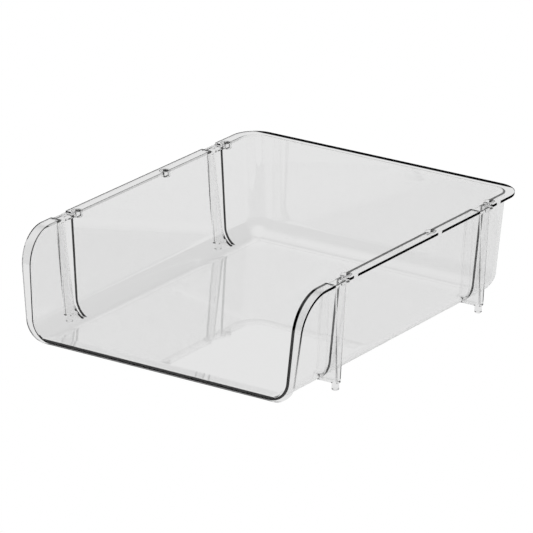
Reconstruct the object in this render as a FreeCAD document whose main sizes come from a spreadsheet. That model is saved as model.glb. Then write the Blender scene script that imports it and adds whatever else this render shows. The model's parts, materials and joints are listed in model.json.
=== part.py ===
"""Stackable letter tray: a clear moulded tray, open at the front, on four hollow legs.

Millimetres, +Z up, +Y towards the back wall, +X to the right of a person facing the open front.
The origin is on the table, at the middle of the tray's width and depth.
"""

import FreeCAD, Part
import math
import os
import Sketcher
from FreeCAD import Vector

doc = FreeCAD.newDocument("LetterTray")

# ---------------------------------------------------------------- driving dimensions
SIZES = [
    ("rim_width", 276, "outer width of the rim flange"),
    ("depth", 327, "front edge to the outer edge of the back rim"),
    ("rim_height", 88.3, "top of the rim above the underside of the floor"),
    ("peg_drop", 4.6, "underside of the floor above the table"),
    ("wall", 2, "thickness of the walls and floor"),
    ("flange_reach", 7.6, "rim flange, outwards from the wall"),
    ("flange_thickness", 2.3, "rim flange, measured square to its surface"),
    ("side_draft_deg", 4.5, "lean of the side walls, degrees"),
    ("back_draft_deg", 2.9, "lean of the back wall, degrees"),
    ("edge_draft_deg", 6.6, "lean of the front flange's outer edges, degrees"),
    ("corner_radius", 13, "inside radius of the back corners"),
    ("floor_radius", 16.5, "inside radius between walls and floor"),
    ("edge_radius", 19, "outer radius of the front flange's lower corners"),
    ("front_lean", 2.8, "how far the front edge leans back, bottom to curve"),
    ("front_curve", 31, "radius from the front edge into the rim"),
    ("lip_drop", 0.1, "front lip below the underside of the floor"),
    ("ramp_rise", 1.8, "rise of the floor at the front edge"),
    ("ramp_length", 15, "length of that rise"),
    ("notch_front", 46.8, "front edge of the tray to the front notch"),
    ("notch_length", 19.4, "length of a notch in the rim"),
    ("notch_depth", 3.5, "depth of a notch below the rim"),
    ("notch_back", 69.2, "back edge of the tray to the front of the rear notch"),
    ("leg_step", 8.7, "front of a notch to the front face of its leg's foot"),
    ("leg_lean", 6.4, "how far a leg's front face leans forwards, foot to rim"),
    ("leg_top", 15.2, "width of a leg under the rim"),
    ("leg_foot", 6.4, "width of a leg at its foot"),
    ("leg_wall", 1.5, "thickness of a leg's webs"),
    ("leg_inset", 1.2, "outer face of a leg inside the rim's outer edge, under the rim"),
    ("leg_draft_deg", 2.1, "lean of a leg's outer face, degrees"),
    ("leg_round", 1.6, "radius of a leg's rear outer edge"),
    ("foot_lift", 1.9, "underside of a foot above the underside of the floor"),
    ("head_drop", 1.2, "top of a leg's head below the rim"),
    ("head_thickness", 2.2, "thickness of a leg's head plate"),
    ("slot_width", 2.5, "width of the slot in a leg's head plate"),
    ("slot_length", 6, "length of that slot"),
    ("peg_radius", 3, "stacking peg"),
    ("peg_chamfer", 0.6, "chamfer at the tip of a peg"),
    ("peg_inset", 7.8, "rim's outer edge to the axis of the pegs and sockets"),
    ("peg_step", 3.2, "front face of a foot to the axis of its peg"),
    ("socket_clearance", 0.3, "radial clearance of a peg in a socket"),
    ("socket_wall", 1, "wall of a peg socket"),
    ("socket_depth", 4.4, "depth of a peg socket"),
    ("socket_step", 5.6, "rear of a notch to the axis of the socket behind it"),
    ("middle_step", 63.8, "middle socket to the front of the rear notch"),
    ("fit_gap", 0.1, "clearance between the tray and what is fitted to it"),
    ("overshoot", 6, "how far cutting shapes run past what they cut"),
]

sheet = doc.addObject("Spreadsheet::Sheet", "Sizes")
sheet.Label = "Sizes"
for row, (alias, value, meaning) in enumerate(SIZES, start=1):
    sheet.set(f"A{row}", alias)
    sheet.set(f"B{row}", str(value))
    sheet.set(f"C{row}", meaning)
    sheet.setAlias(f"B{row}", alias)
doc.recompute()


def size(text):
    """Turn plain size names in an expression into references to the sheet."""
    names = sorted((alias for alias, _, _ in SIZES), key=len, reverse=True)
    for name in names:
        text = text.replace(f"<{name}>", f"Sizes.{name}")
    return text


def value(text):
    """The present value of an expression in size names, for a sketch's starting shape."""
    probe.setExpression("Radius", size(text))
    probe.recompute()
    return probe.Radius.Value


def number(text):
    """Like value, but also for expressions that are zero or negative."""
    far = 10000
    return value(f"{far} + {text}") - far


probe = doc.addObject("Part::Sphere", "Probe")

# Heights above the table and places along the depth, as expressions.
FLOOR = "<peg_drop>"
RIM = "(<peg_drop> + <rim_height>)"
FRONT = "(-<depth> / 2)"
BACK = "(<depth> / 2)"
SIDE = "(<rim_width> / 2)"
WALL_SIDE = "(<rim_width> / 2 - <flange_reach>)"
WALL_BACK = "(<depth> / 2 - <flange_reach>)"
NOTCHES = {
    "front": "(-<depth> / 2 + <notch_front>)",
    "rear": "(<depth> / 2 - <notch_back>)",
}


def bind(thing, **expressions):
    """Bind properties of a document object to the sheet."""
    for name, text in expressions.items():
        thing.setExpression(name.replace("__", "."), size(text))
    return thing


def origin_plane(body, role):
    """One of a body's own origin planes."""
    for feature in body.Origin.OriginFeatures:
        if feature.Role == role:
            return feature
    raise ValueError(role)


def sketch_on(body, name, role, offset="0"):
    """A sketch on a body's own origin plane, moved along the plane's normal."""
    sketch = body.newObject("Sketcher::SketchObject", name)
    sketch.AttachmentSupport = [(origin_plane(body, role), "")]
    sketch.MapMode = "FlatFace"
    bind(sketch, AttachmentOffset__Base__z=offset)
    return sketch


def place_point(sketch, edge, end, across, along):
    """Fix an end of a sketch edge by its distances from the sketch's origin."""
    for kind, text in (("DistanceX", across), ("DistanceY", along)):
        index = sketch.addConstraint(Sketcher.Constraint(kind, -1, 1, edge, end, number(text)))
        sketch.setExpression(f"Constraints[{index}]", size(text))


def polygon(sketch, corners):
    """A closed outline of straight edges through corners given as expressions."""
    points = [Vector(number(across), number(along), 0) for across, along in corners]
    for n, start in enumerate(points):
        sketch.addGeometry(Part.LineSegment(start, points[(n + 1) % len(points)]), False)
    for n, (across, along) in enumerate(corners):
        before = (n - 1) % len(corners)
        sketch.addConstraint(Sketcher.Constraint("Coincident", before, 2, n, 1))
        place_point(sketch, n, 1, across, along)


def edges_where(shape, wanted):
    """Names of the edges of a shape whose bounding boxes pass a test."""
    return [f"Edge{n}" for n, edge in enumerate(shape.Edges, start=1) if wanted(edge.BoundBox)]


def round_edges(body, name, wanted, radius):
    """Fillet some edges of a body's present tip."""
    fillet = body.newObject("PartDesign::Fillet", name)
    base = fillet.BaseFeature
    fillet.Base = (base, edges_where(base.Shape, wanted))
    bind(fillet, Radius=radius)
    doc.recompute()


def drafted_form(name, side, back, side_draft, back_draft, corner, foot, edge):
    """A block that widens upwards, with rounded back corners and rounded lower edges.

    side and back are its half width and its back at rim level; it stands on the level foot
    and runs past the tray's rim and front edge.
    """
    body = doc.addObject("PartDesign::Body", name)
    high = f"({RIM} + <overshoot>)"
    front = f"({FRONT} - 3 * <overshoot>)"
    far = f"({BACK} + 3 * <overshoot>)"
    half_low = f"({side} - ({RIM} - {foot}) * tan({side_draft}))"
    half_high = f"({side} + <overshoot> * tan({side_draft}))"
    rear_low = f"({back} - ({RIM} - {foot}) * tan({back_draft}))"
    rear_high = f"({back} + <overshoot> * tan({back_draft}))"
    sketch = sketch_on(body, f"{name}FrontView", "XZ_Plane", f"-{front}")
    corners = [(f"-{half_low}", foot), (half_low, foot), (half_high, high), (f"-{half_high}", high)]
    polygon(sketch, corners)
    block = body.newObject("PartDesign::Pad", f"{name}Block")
    block.Profile = sketch
    block.Reversed = True
    bind(block, Length=f"{rear_high} - {front}")
    doc.recompute()
    sketch = sketch_on(body, f"{name}BackWedge", "YZ_Plane")
    polygon(sketch, [(rear_low, foot), (far, foot), (far, high), (rear_high, high)])
    lean = body.newObject("PartDesign::Pocket", f"{name}BackLean")
    lean.Profile = sketch
    lean.Midplane = True
    bind(lean, Length="(<rim_width> + 4 * <overshoot>)")
    doc.recompute()
    level = number(foot)
    round_edges(body, f"{name}Corners", lambda b: b.ZLength > 10 and b.YMin > 0, corner)
    round_edges(
        body, f"{name}Floor", lambda b: b.ZMax < level + 0.01 and b.YMax > number(front) + 1, edge
    )
    return body


def side_profile(name, inset):
    """The tray's side view as a slab across its whole width: the front edge leans back and
    curves into the level rim. inset moves the outline inwards."""
    body = doc.addObject("PartDesign::Body", name)
    sketch = sketch_on(body, f"{name}Outline", "YZ_Plane")
    lean = "atan(<front_lean> / (<rim_height> - <front_curve>))"
    top = f"({RIM} - {inset})"
    low = f"({FLOOR} - <lip_drop>)"
    radius = f"(<front_curve> - {inset})"
    # centre of the curve: level with the tangent point's square, a radius inside the front line
    centre_z = f"({RIM} - <front_curve>)"
    centre_y = (
        f"({FRONT} + ({centre_z} - {low}) * tan({lean}) + <front_curve> / cos({lean}))"
    )
    far = f"({BACK} + <overshoot>)"
    front_low = f"({FRONT} + {inset} / cos({lean}))"
    tangent_y = f"({centre_y} - {radius} * cos({lean}))"
    tangent_z = f"({centre_z} + {radius} * sin({lean}))"
    y, z, r = number(centre_y), number(centre_z), number(radius)
    quarter = math.pi / 2
    lean_angle = math.atan2(number(tangent_z) - z, y - number(tangent_y))
    start = Vector(number(tangent_y), number(tangent_z), 0)
    crown = Vector(y, z + r, 0)
    foot = Vector(number(front_low), number(low), 0)
    top_far = Vector(number(far), z + r, 0)
    low_far = Vector(number(far), number(low), 0)
    circle = Part.Circle(Vector(y, z, 0), Vector(0, 0, 1), r)
    curve = Part.ArcOfCircle(circle, quarter, 2 * quarter - lean_angle)
    outline = [
        Part.LineSegment(foot, start),
        curve,
        Part.LineSegment(crown, top_far),
        Part.LineSegment(top_far, low_far),
        Part.LineSegment(low_far, foot),
    ]
    for piece in outline:
        sketch.addGeometry(piece, False)
    joins = [(0, 2, 1, 2), (1, 1, 2, 1), (2, 2, 3, 1), (3, 2, 4, 1), (4, 2, 0, 1)]
    for join in joins:
        sketch.addConstraint(Sketcher.Constraint("Coincident", *join))
    place_point(sketch, 0, 1, front_low, low)
    place_point(sketch, 0, 2, tangent_y, tangent_z)
    place_point(sketch, 2, 1, centre_y, top)
    place_point(sketch, 2, 2, far, top)
    place_point(sketch, 3, 2, far, low)
    index = sketch.addConstraint(Sketcher.Constraint("Radius", 1, r))
    sketch.setExpression(f"Constraints[{index}]", size(radius))
    pad = body.newObject("PartDesign::Pad", f"{name}Slab")
    pad.Profile = sketch
    pad.Midplane = True
    bind(pad, Length="(<rim_width> + 4 * <overshoot>)")
    doc.recompute()
    return body


def boolean(kind, name, base, tool):
    """A Cut of two shapes, or a Common or Fuse of two."""
    result = doc.addObject(f"Part::{kind}", name)
    result.Base = base
    result.Tool = tool
    result.Refine = True
    doc.recompute()
    return result


def together(name, shapes):
    """Several shapes fused into one."""
    result = doc.addObject("Part::MultiFuse", name)
    result.Shapes = shapes
    result.Refine = True
    doc.recompute()
    return result


def box(name, low, high):
    """A box between two corners given as expressions."""
    solid = doc.addObject("Part::Box", name)
    bind(
        solid,
        Length=f"{high[0]} - {low[0]}",
        Width=f"{high[1]} - {low[1]}",
        Height=f"{high[2]} - {low[2]}",
        Placement__Base__x=low[0],
        Placement__Base__y=low[1],
        Placement__Base__z=low[2],
    )
    return solid


def rod(name, radius, centre, low, high):
    """An upright cylinder."""
    solid = doc.addObject("Part::Cylinder", name)
    bind(
        solid,
        Radius=radius,
        Height=f"{high} - {low}",
        Placement__Base__x=centre[0],
        Placement__Base__y=centre[1],
        Placement__Base__z=low,
    )
    return solid


def tray_form(name, grow):
    """The tray's walls and floor as a solid, with its surface moved outwards by grow."""
    return drafted_form(
        name,
        side=f"({WALL_SIDE} + {grow})",
        back=f"({WALL_BACK} + {grow})",
        side_draft="<side_draft_deg>",
        back_draft="<back_draft_deg>",
        corner=f"(<corner_radius> + <wall> + {grow})",
        foot=f"({FLOOR} - {grow})",
        edge=f"(<floor_radius> + <wall> + {grow})",
    )


# ---------------------------------------------------------------- the tray's shell
def socket_places():
    """Name, side and place along the depth of each peg socket on one side of the tray."""
    return {
        "front": f"({NOTCHES['front']} + <notch_length> + <socket_step>)",
        "middle": f"({NOTCHES['rear']} - <middle_step>)",
        "rear": f"({NOTCHES['rear']} + <notch_length> + <socket_step>)",
    }


def build_shell(cells):
    """Walls, floor, rim flange and front lip, with notches for the legs' heads, slots into
    the legs' cells and holes for the peg sockets."""
    outside = tray_form("Outside", "0")
    cavity = tray_form("Cavity", "(-<wall>)")
    flange = drafted_form(
        "FlangeForm",
        side=SIDE,
        back=BACK,
        side_draft="<edge_draft_deg>",
        back_draft="<back_draft_deg>",
        corner="(<corner_radius> + <wall> + <flange_reach>)",
        foot=f"({FLOOR} - <lip_drop>)",
        edge="<edge_radius>",
    )
    profile = side_profile("SideView", "0")
    inner_profile = side_profile("SideViewInside", "<flange_thickness>")
    walls = boolean("Cut", "OpenBox", outside, cavity)
    walls = boolean("Common", "TrimmedBox", walls, profile)
    strip = boolean("Cut", "RimStrip", profile, inner_profile)
    band = boolean("Cut", "FlangeBand", flange, cavity)
    band = boolean("Common", "Flange", band, strip)
    ramp = boolean("Common", "FrontRise", ramp_block(), cavity)
    ramp = boolean("Common", "FrontRiseTrimmed", ramp, profile)
    shell = together("ShellBlank", [walls, band, ramp])
    cutters = [*cells.values()]
    cutters += [mirrored(f"LeftCell_{end}", cell) for end, cell in cells.items()]
    for end, notch in NOTCHES.items():
        low = (f"-({SIDE} + <overshoot>)", notch, f"({RIM} - <notch_depth>)")
        high = (
            f"({SIDE} + <overshoot>)",
            f"({notch} + <notch_length>)",
            f"({RIM} + <overshoot>)",
        )
        cutters.append(box(f"Notch_{end}", low, high))
    hole = "(<peg_radius> + <socket_clearance> + <socket_wall> + <fit_gap>)"
    for end, along in socket_places().items():
        for hand, sign in (("left", "-"), ("right", "")):
            centre = (f"{sign}({SIDE} - <peg_inset>)", along)
            low = f"({RIM} - <socket_depth>)"
            cutters.append(rod(f"Hole_{end}_{hand}", hole, centre, low, f"({RIM} + <overshoot>)"))
    shell = boolean("Cut", "TrayShell", shell, together("ShellCutters", cutters))
    shell.Label = "tray_shell"
    return shell


def ramp_block():
    """The gentle rise of the floor towards the front edge."""
    body = doc.addObject("PartDesign::Body", "Rise")
    sketch = sketch_on(body, "RiseOutline", "YZ_Plane")
    top = f"({FLOOR} + <wall>)"
    corners = [
        (FRONT, f"({top} - <wall> / 2)"),
        (f"({FRONT} + <ramp_length>)", f"({top} - <wall> / 2)"),
        (f"({FRONT} + <ramp_length>)", top),
        (FRONT, f"({top} + <ramp_rise>)"),
    ]
    polygon(sketch, corners)
    pad = body.newObject("PartDesign::Pad", "RiseSlab")
    pad.Profile = sketch
    pad.Midplane = True
    bind(pad, Length="<rim_width>")
    doc.recompute()
    return body


# ---------------------------------------------------------------- legs and sockets
FOOT = "(<peg_drop> + <foot_lift>)"
LEG_TOP = f"({RIM} - <flange_thickness> - <fit_gap>)"


def leg_front(end, height):
    """Front face of the leg in one of the notches: it leans forwards from foot to rim."""
    slope = f"(<leg_lean> / ({LEG_TOP} - {FOOT}))"
    return f"({NOTCHES[end]} + <leg_step> - ({height} - {FOOT}) * {slope})"


def leg_rear(end, height):
    """Rear face of a leg at a height: it widens evenly from the foot to the rim."""
    slope = f"((<leg_top> - <leg_foot>) / ({LEG_TOP} - {FOOT}))"
    return f"({leg_front(end, height)} + <leg_foot> + ({height} - {FOOT}) * {slope})"


def leg_face(height):
    """Outer face of a leg at a height: it leans inwards from rim to foot."""
    return f"({SIDE} - <leg_inset> - ({LEG_TOP} - {height}) * tan(<leg_draft_deg>))"


def leg_block(name, end, inset, low, high):
    """A leg's outline as a solid that runs in to the middle of the tray, with its front,
    rear and outer faces moved inwards by inset."""
    body = doc.addObject("PartDesign::Body", name)
    sketch = sketch_on(body, f"{name}Outline", "YZ_Plane")
    corners = [
        (f"({leg_front(end, low)} + {inset})", low),
        (f"({leg_rear(end, low)} - {inset})", low),
        (f"({leg_rear(end, high)} - {inset})", high),
        (f"({leg_front(end, high)} + {inset})", high),
    ]
    polygon(sketch, corners)
    pad = body.newObject("PartDesign::Pad", f"{name}Slab")
    pad.Profile = sketch
    bind(pad, Length=f"({SIDE} + <overshoot>)")
    doc.recompute()
    sketch = sketch_on(body, f"{name}Wedge", "XZ_Plane")
    far = f"({SIDE} + 2 * <overshoot>)"
    corners = [
        (f"({leg_face(low)} - {inset})", low),
        (far, low),
        (far, high),
        (f"({leg_face(high)} - {inset})", high),
    ]
    polygon(sketch, corners)
    lean = body.newObject("PartDesign::Pocket", f"{name}Lean")
    lean.Profile = sketch
    lean.Midplane = True
    bind(lean, Length="2 * <depth>")
    doc.recompute()
    return body


def leg_outside(end):
    """The outside of a leg, down to the underside of its foot plate."""
    body = leg_block(f"Leg_{end}", end, "0", FOOT, LEG_TOP)
    reach = number(leg_face(FOOT)) - 0.01
    behind = number(leg_rear(end, FOOT)) - 0.01
    round_edges(
        body,
        f"LegRound_{end}",
        lambda b: b.XMin > reach and b.ZLength > 10 and b.YMin > behind,
        "<leg_round>",
    )
    return body


def leg_cell(end):
    """The space between a leg's webs, above its foot plate and through the tray's wall."""
    low = f"({FOOT} + <leg_wall>)"
    return leg_block(f"Cell_{end}", end, "<leg_wall>", low, f"({LEG_TOP} + <overshoot>)")


def leg_head(end):
    """A leg's head plate, which fills the notch in the rim and has a slot over the cell."""
    notch = NOTCHES[end]
    top = f"({RIM} - <head_drop>)"
    bottom = f"({top} - <head_thickness>)"
    plate = box(
        f"Head_{end}",
        (f"({WALL_SIDE} - <wall>)", f"({notch} + <fit_gap>)", bottom),
        (SIDE, f"({notch} + <notch_length> - <fit_gap>)", top),
    )
    outer = f"({leg_face(LEG_TOP)} - <leg_wall>)"
    rear = f"({leg_rear(end, LEG_TOP)} - <leg_wall>)"
    slot = box(
        f"HeadSlot_{end}",
        (f"({outer} - <slot_width>)", f"({rear} - <slot_length>)", f"({bottom} - <overshoot>)"),
        (outer, rear, f"({top} + <overshoot>)"),
    )
    return boolean("Cut", f"HeadPlate_{end}", plate, slot)


def leg_peg(end):
    """The stacking peg under a leg's foot, chamfered at its tip."""
    axis = (f"({SIDE} - <peg_inset>)", f"({leg_front(end, FOOT)} + <peg_step>)")
    pin = rod(f"PegRod_{end}", "<peg_radius>", axis, "<peg_chamfer>", f"({FOOT} + <leg_wall> / 2)")
    tip = doc.addObject("Part::Cone", f"PegTip_{end}")
    bind(
        tip,
        Radius1="<peg_radius> - <peg_chamfer>",
        Radius2="<peg_radius>",
        Height="<peg_chamfer>",
        Placement__Base__x=axis[0],
        Placement__Base__y=axis[1],
    )
    return together(f"Peg_{end}", [pin, tip])


def build_leg(end, cell, seat):
    """One right-hand leg: a channel, open to the tray, that ends against the tray's outside."""
    hollow = together(f"LegHollow_{end}", [cell, seat])
    channel = boolean("Cut", f"LegChannel_{end}", leg_outside(end), hollow)
    return together(f"RightLeg_{end}", [channel, leg_head(end), leg_peg(end)])


def mirrored(name, source):
    """The left-hand twin of a right-hand piece."""
    twin = doc.addObject("Part::Mirroring", name)
    twin.Source = source
    twin.Normal = Vector(1, 0, 0)
    doc.recompute()
    return twin


def build_socket(end, along):
    """One right-hand peg socket: a short tube let into the rim."""
    inner = "(<peg_radius> + <socket_clearance>)"
    centre = (f"({SIDE} - <peg_inset>)", along)
    low = f"({RIM} - <socket_depth>)"
    tube = rod(f"SocketTube_{end}", f"({inner} + <socket_wall>)", centre, low, RIM)
    bore = rod(f"SocketBore_{end}", inner, centre, f"({low} - 1)", f"({RIM} + 1)")
    return boolean("Cut", f"RightSocket_{end}", tube, bore)


def build():
    """Every sub-part by its name."""
    seat = tray_form("Seat", "<fit_gap>")
    cells = {end: leg_cell(end) for end in NOTCHES}
    parts = [build_shell(cells)]
    for end, cell in cells.items():
        right = build_leg(end, cell, seat)
        right.Label = f"stacking_leg_{end}_right"
        left = mirrored(f"LeftLeg_{end}", right)
        left.Label = f"stacking_leg_{end}_left"
        parts += [right, left]
    for end, along in socket_places().items():
        right = build_socket(end, along)
        right.Label = f"peg_socket_{end}_right"
        left = mirrored(f"LeftSocket_{end}", right)
        left.Label = f"peg_socket_{end}_left"
        parts += [right, left]
    return parts


def check(parts):
    """Stop if any object failed or any sub-part is not one valid solid."""
    for thing in doc.Objects:
        if "Invalid" in thing.State or "Error" in thing.State:
            raise RuntimeError(f"{thing.Name} failed: {thing.State}")
    for part in parts:
        shape = part.Shape
        if shape.isNull() or not shape.isValid() or len(shape.Solids) != 1:
            raise RuntimeError(f"{part.Label}: {len(shape.Solids)} solids, valid {shape.isValid()}")


def write(parts):
    """One STEP file for each sub-part, named after it."""
    os.makedirs("parts", exist_ok=True)
    for part in parts:
        part.Shape.exportStep(f"parts/{part.Label}.step")
        box_ = part.Shape.BoundBox
        low = [round(n, 2) for n in (box_.XMin, box_.YMin, box_.ZMin)]
        high = [round(n, 2) for n in (box_.XMax, box_.YMax, box_.ZMax)]
        print(part.Label, round(part.Shape.Volume), "mm3", low, high)


sub_parts = build()
doc.removeObject(probe.Name)
doc.recompute()
check(sub_parts)
write(sub_parts)
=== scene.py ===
"""Clear moulded letter tray on a white studio table."""

import json
import math

import bpy
from mathutils import Matrix, Vector

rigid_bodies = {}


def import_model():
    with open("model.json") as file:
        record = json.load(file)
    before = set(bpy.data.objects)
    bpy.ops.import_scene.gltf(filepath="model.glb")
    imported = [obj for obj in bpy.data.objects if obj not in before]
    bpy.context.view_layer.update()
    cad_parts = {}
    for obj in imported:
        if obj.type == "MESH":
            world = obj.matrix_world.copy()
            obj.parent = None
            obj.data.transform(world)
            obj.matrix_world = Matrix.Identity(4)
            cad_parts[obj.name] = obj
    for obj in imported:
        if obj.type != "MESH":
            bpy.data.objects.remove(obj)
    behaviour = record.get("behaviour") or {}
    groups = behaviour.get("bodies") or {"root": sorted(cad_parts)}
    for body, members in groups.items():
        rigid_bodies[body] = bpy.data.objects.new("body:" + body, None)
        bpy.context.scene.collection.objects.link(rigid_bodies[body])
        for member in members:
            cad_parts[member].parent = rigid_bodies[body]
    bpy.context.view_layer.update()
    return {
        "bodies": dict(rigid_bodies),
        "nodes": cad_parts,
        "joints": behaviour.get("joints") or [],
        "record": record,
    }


# ---------------------------------------------------------------- lengths in metres, angles in radians
# camera, as the photograph was taken
YAW = math.radians(34.3598)
PITCH = math.radians(20.0229)
ROLL = math.radians(0.1946)
AIM = Vector((-0.00903, 0.0025, 0.04194))
DISTANCE = 3.9241
SENSOR = 36
LENS = 4815.4 / 533 * SENSOR

# the tray, as its part is built
RIM = 0.0929
HALF_WIDTH = 0.138
BACK_EDGE = 0.1635
RIM_CORNER = 0.0226
EDGE_SLOPE = math.tan(math.radians(6.6))
BACK_SLOPE = math.tan(math.radians(2.9))
SIDE_SLOPE = math.tan(math.radians(4.5))
FILLET_RADIUS = 0.0165
FILLET_HEIGHT = 0.0231
FILLET_ACROSS = 0.10635
SOCKET_ACROSS = 0.1302
SOCKET_PLACES = (-0.0917, 0.0305, 0.1193)
NOTCH_EDGES = (-0.1167, 0.0943)

# its plastic
TINT = 0.97
REFRACTION = 1.59
WAVE_SCALE = 22
WAVE_HEIGHT = 0.0004
WAVE_STRENGTH = 0.1
# colour of the painted shade along the edges
PAINTED_SHADE_COLOUR = (0.01, 0.01, 0.011, 1)

# its painted shade: dark lines painted along edges
FADE = 0.0001
RIM_LINE = 0.0003
RIM_FOOT = (0.012, 0.075)
RIM_FOOT_STRENGTH = 0.3
BACK_RIM_SHADE = (0.1582, 0.1584)
SOCKET_SHIFT = 0.003
SOCKET_GAP = (0.0026, 0.0034)
RING = (0.0045, 0.0052)
RING_STRENGTH = 0.6
NOTCH_LINE = 0.0022
NOTCH_FADE = 0.0002
NOTCH_ACROSS = (0.1290, 0.1365)
NOTCH_ACROSS_FADE = 0.0003
NOTCH_STRENGTH = 0.85
LIP = (0.0001, 0.0006)
LIP_STRENGTH = 0.8
LIP_DEPTH = (-0.125, -0.120)
LIP_FACING = (-0.6, -0.4)
LIP_HEIGHT = (0.035, 0.065)

# the studio
TABLE_REACH = 0.8
TABLE_BACK = 2.4
TABLE_COLOUR = (0.85, 0.85, 0.85, 1)
THROUGH = 0.80
OVERHEAD = 0.8
UNLIT = 0.016
OVERHEAD_FROM = (0.6, 0.9)
BACKDROP_ACROSS = (0.6, 0.8)
BACKDROP_TOP = (0.45, 0.65)


def make_camera():
    """The camera of the main view."""
    data = bpy.data.cameras.new("Camera")
    camera = bpy.data.objects.new("Camera", data)
    bpy.context.scene.collection.objects.link(camera)
    bpy.context.scene.camera = camera
    data.sensor_width = SENSOR
    data.lens = LENS
    data.clip_start = 0.1
    data.clip_end = 50
    towards = Vector(
        (math.sin(YAW) * math.cos(PITCH), -math.cos(YAW) * math.cos(PITCH), math.sin(PITCH))
    )
    right = Vector((math.cos(YAW), math.sin(YAW), 0))
    up = right.cross(-towards)
    turned_right = math.cos(ROLL) * right + math.sin(ROLL) * up
    turned_up = math.cos(ROLL) * up - math.sin(ROLL) * right
    frame = Matrix((turned_right, turned_up, towards)).transposed()
    camera.matrix_world = Matrix.Translation(AIM + towards * DISTANCE) @ frame.to_4x4()


# ---------------------------------------------------------------- node helpers
class Nodes:
    """Short ways to add shader nodes to one node tree."""

    def __init__(self, tree):
        self.tree = tree
        tree.nodes.clear()

    def add(self, kind, **settings):
        node = self.tree.nodes.new(kind)
        for name, setting in settings.items():
            setattr(node, name, setting)
        return node

    def feed(self, socket, source):
        """Give an input either a link or a value."""
        if isinstance(source, bpy.types.NodeSocket):
            self.tree.links.new(source, socket)
        else:
            socket.default_value = source

    def math(self, operation, first, second=0.0, third=0.0):
        node = self.add("ShaderNodeMath", operation=operation)
        for socket, source in zip(node.inputs, (first, second, third)):
            self.feed(socket, source)
        return node.outputs[0]

    def ramp(self, source, start, end, low=0.0, high=1.0):
        """A smooth step from low to high as the source goes from start to end."""
        node = self.add("ShaderNodeMapRange", interpolation_type="SMOOTHSTEP")
        self.feed(node.inputs["Value"], source)
        node.inputs["From Min"].default_value = start
        node.inputs["From Max"].default_value = end
        node.inputs["To Min"].default_value = low
        node.inputs["To Max"].default_value = high
        return node.outputs["Result"]

    def between(self, source, start, end, soft):
        """1 inside a range and 0 outside it, with soft ends."""
        rise = self.ramp(source, start - soft, start)
        fall = self.ramp(source, end, end + soft, 1.0, 0.0)
        return self.math("MULTIPLY", rise, fall)

    def most(self, sources):
        """The largest of several sources."""
        result = sources[0]
        for source in sources[1:]:
            result = self.math("MAXIMUM", result, source)
        return result

    def mix_shader(self, factor, first, second):
        node = self.add("ShaderNodeMixShader")
        self.feed(node.inputs[0], factor)
        self.feed(node.inputs[1], first)
        self.feed(node.inputs[2], second)
        return node.outputs[0]

    def emission(self, strength):
        node = self.add("ShaderNodeEmission")
        self.feed(node.inputs["Strength"], strength)
        return node.outputs[0]


# ---------------------------------------------------------------- materials
def inside_rim(n, across, depth, height):
    """Distance inwards from the outer edge of the rim flange, in plan."""
    drop = n.math("SUBTRACT", RIM, height)
    u = n.math("MULTIPLY_ADD", drop, EDGE_SLOPE, across)
    v = n.math("MULTIPLY_ADD", drop, BACK_SLOPE, depth)
    qu = n.math("SUBTRACT", u, HALF_WIDTH - RIM_CORNER)
    qv = n.math("SUBTRACT", v, BACK_EDGE - RIM_CORNER)
    pu = n.math("MAXIMUM", qu, 0.0)
    pv = n.math("MAXIMUM", qv, 0.0)
    reach = n.math("SQRT", n.math("MULTIPLY_ADD", pu, pu, n.math("MULTIPLY", pv, pv)))
    inner = n.math("MINIMUM", n.math("MAXIMUM", qu, qv), 0.0)
    return n.math("SUBTRACT", n.math("SUBTRACT", RIM_CORNER, reach), inner)


def wall_depth(n, across, height):
    """Distance outwards from the inner face of the side walls and the floor, across the tray."""
    rise = n.math("MAXIMUM", n.math("SUBTRACT", height, FILLET_HEIGHT), 0.0)
    lean = n.math("MULTIPLY", rise, SIDE_SLOPE)
    a = n.math("SUBTRACT", n.math("SUBTRACT", across, lean), FILLET_ACROSS)
    b = n.math("SUBTRACT", FILLET_HEIGHT, height)
    pa = n.math("MAXIMUM", a, 0.0)
    pb = n.math("MAXIMUM", b, 0.0)
    reach = n.math("SQRT", n.math("MULTIPLY_ADD", pa, pa, n.math("MULTIPLY", pb, pb)))
    inner = n.math("MINIMUM", n.math("MAXIMUM", a, b), 0.0)
    return n.math("SUBTRACT", n.math("ADD", reach, inner), FILLET_RADIUS)


def product(n, sources):
    """Several masks multiplied together."""
    result = sources[0]
    for source in sources[1:]:
        result = n.math("MULTIPLY", result, source)
    return result


def rim_edge_shade(n, across, depth, height):
    """Painted shade along the outer edge of the flange, broken behind each socket and fading towards
    the foot.
    """
    inward = inside_rim(n, across, depth, height)
    masks = [n.ramp(inward, FADE, RIM_LINE, 1.0, 0.0)]
    for middle in SOCKET_PLACES:
        gap = n.math("ABSOLUTE", n.math("SUBTRACT", depth, middle + SOCKET_SHIFT))
        masks.append(n.ramp(gap, *SOCKET_GAP))
    masks.append(n.ramp(height, *RIM_FOOT, RIM_FOOT_STRENGTH, 1.0))
    return product(n, masks)


def lip_shade(n, across, depth, height, normal):
    """Painted shade on the inner corner of the cut front, strongest at the floor."""
    shell = wall_depth(n, across, height)
    facing = n.add("ShaderNodeSeparateXYZ")
    n.feed(facing.inputs[0], normal)
    masks = [
        n.between(shell, *LIP, FADE),
        n.ramp(depth, *LIP_DEPTH, 1.0, 0.0),
        n.ramp(facing.outputs["Y"], *LIP_FACING, 1.0, 0.0),
        n.ramp(height, *LIP_HEIGHT, LIP_STRENGTH, 0.0),
    ]
    return product(n, masks)


def socket_ring_shade(n, across, depth, upper, middle):
    """Painted shade round the edge of the hole that holds a peg socket."""
    v = n.math("SUBTRACT", depth, middle)
    u = n.math("SUBTRACT", across, SOCKET_ACROSS)
    radius = n.math("SQRT", n.math("MULTIPLY_ADD", u, u, n.math("MULTIPLY", v, v)))
    return product(n, [n.between(radius, *RING, FADE), upper, RING_STRENGTH])


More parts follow.
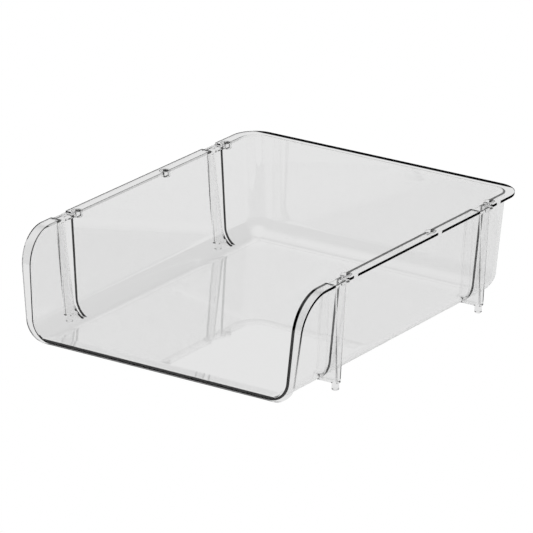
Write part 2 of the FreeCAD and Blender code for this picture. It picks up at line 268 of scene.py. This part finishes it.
def notch_shade(n, across, depth, upper, edge):
    """Painted shade along the front edge of a notch, where a leg's head begins."""
    line = n.between(depth, edge - NOTCH_LINE, edge, NOTCH_FADE)
    width = n.between(across, *NOTCH_ACROSS, NOTCH_ACROSS_FADE)
    return product(n, [line, upper, width, NOTCH_STRENGTH])


def painted_edge_shade(n, across, depth, height, normal):
    """Mask of the painted shade along the edges, the same on the left and the right of the tray."""
    outside = n.math("SUBTRACT", 1.0, n.add("ShaderNodeNewGeometry").outputs["Backfacing"])
    upper = n.ramp(height, RIM - FADE, RIM)
    dark = [
        rim_edge_shade(n, across, depth, height),
        # painted shade: a dark strip along the top of the back rim
        n.math("MULTIPLY", upper, n.ramp(depth, *BACK_RIM_SHADE)),
        lip_shade(n, across, depth, height, normal),
    ]
    dark += [socket_ring_shade(n, across, depth, upper, middle) for middle in SOCKET_PLACES]
    dark += [notch_shade(n, across, depth, upper, edge) for edge in NOTCH_EDGES]
    return n.math("MULTIPLY", n.most(dark), outside)


def clear_plastic(name, has_painted_shade):
    """Clear moulded styrene with faint flow waves in its surface."""
    material = bpy.data.materials.new(name)
    material.use_nodes = True
    n = Nodes(material.node_tree)
    here = n.add("ShaderNodeTexCoord")
    shader = n.add("ShaderNodeBsdfPrincipled")
    shader.inputs["Base Color"].default_value = (TINT, TINT, TINT, 1)
    shader.inputs["IOR"].default_value = REFRACTION
    shader.inputs["Transmission Weight"].default_value = 1
    shader.inputs["Roughness"].default_value = 0
    waves = n.add("ShaderNodeTexNoise")
    n.feed(waves.inputs["Vector"], here.outputs["Object"])
    waves.inputs["Scale"].default_value = WAVE_SCALE
    waves.inputs["Detail"].default_value = 1
    bump = n.add("ShaderNodeBump")
    bump.inputs["Strength"].default_value = WAVE_STRENGTH
    bump.inputs["Distance"].default_value = WAVE_HEIGHT
    n.feed(bump.inputs["Height"], waves.outputs["Fac"])
    n.feed(shader.inputs["Normal"], bump.outputs["Normal"])
    surface = shader.outputs["BSDF"]
    if has_painted_shade:
        split = n.add("ShaderNodeSeparateXYZ")
        n.feed(split.inputs[0], here.outputs["Object"])
        side, depth, height = split.outputs
        across = n.math("ABSOLUTE", side)
        # painted shade: a dark matte shader mixed over the plastic along its edges
        edge = n.add("ShaderNodeBsdfDiffuse")
        edge.inputs["Color"].default_value = PAINTED_SHADE_COLOUR
        painted_shade_mask = painted_edge_shade(n, across, depth, height, here.outputs["Normal"])
        surface = n.mix_shader(painted_shade_mask, surface, edge.outputs["BSDF"])
    out = n.add("ShaderNodeOutputMaterial")
    n.feed(out.inputs["Surface"], surface)
    return material


def floor_material():
    """Studio table: white to the camera, THROUGH to rays that pass the plastic or mirror in it."""
    material = bpy.data.materials.new("StudioWhite")
    material.use_nodes = True
    n = Nodes(material.node_tree)
    matte = n.add("ShaderNodeBsdfDiffuse")
    matte.inputs["Color"].default_value = TABLE_COLOUR
    path = n.add("ShaderNodeLightPath")
    clear = n.math("MAXIMUM", path.outputs["Is Transmission Ray"], path.outputs["Is Glossy Ray"])
    seen = n.mix_shader(clear, matte.outputs[0], n.emission(THROUGH))
    seen = n.mix_shader(path.outputs["Is Camera Ray"], seen, n.emission(1.0))
    out = n.add("ShaderNodeOutputMaterial")
    n.feed(out.inputs["Surface"], seen)
    return material


# ---------------------------------------------------------------- studio
def make_floor():
    """The table top under the tray."""
    mesh = bpy.data.meshes.new("Floor")
    near = -TABLE_REACH
    mesh.from_pydata(
        [(near, near, 0), (TABLE_REACH, near, 0), (TABLE_REACH, TABLE_BACK, 0), (near, TABLE_BACK, 0)],
        [],
        [(0, 1, 2, 3)],
    )
    floor = bpy.data.objects.new("Floor", mesh)
    bpy.context.scene.collection.objects.link(floor)
    mesh.materials.append(floor_material())


def make_world():
    """A lit backdrop behind the tray and a lamp bank overhead, dark elsewhere, white to the camera."""
    world = bpy.data.worlds.new("Studio")
    bpy.context.scene.world = world
    world.use_nodes = True
    n = Nodes(world.node_tree)
    coordinates = n.add("ShaderNodeTexCoord")
    split = n.add("ShaderNodeSeparateXYZ")
    n.feed(split.inputs[0], coordinates.outputs["Generated"])
    over = n.ramp(split.outputs["Z"], *OVERHEAD_FROM, UNLIT, OVERHEAD)
    facing = n.add("ShaderNodeVectorMath", operation="DOT_PRODUCT")
    n.feed(facing.inputs[0], coordinates.outputs["Generated"])
    facing.inputs[1].default_value = (-math.sin(YAW), math.cos(YAW), 0)
    behind = n.ramp(facing.outputs["Value"], *BACKDROP_ACROSS, 0.0, THROUGH)
    behind = n.math("MULTIPLY", behind, n.ramp(split.outputs["Z"], *BACKDROP_TOP, 1.0, 0.0))
    light = n.math("MAXIMUM", over, behind)
    path = n.add("ShaderNodeLightPath")
    light = n.math("MAXIMUM", light, path.outputs["Is Camera Ray"])
    background = n.add("ShaderNodeBackground")
    background.inputs["Color"].default_value = (1, 1, 1, 1)
    n.feed(background.inputs["Strength"], light)
    out = n.add("ShaderNodeOutputWorld")
    n.feed(out.inputs["Surface"], background.outputs["Background"])


make_camera()
bpy.context.scene.view_settings.view_transform = "Standard"
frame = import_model()

shell_plastic = clear_plastic("TrayPlasticPaintedShade", True)
fitting_plastic = clear_plastic("FittingPlastic", False)
for name, node in frame["nodes"].items():
    for slot in node.material_slots:
        slot.material = shell_plastic if name == "tray_shell" else fitting_plastic

make_floor()
make_world()
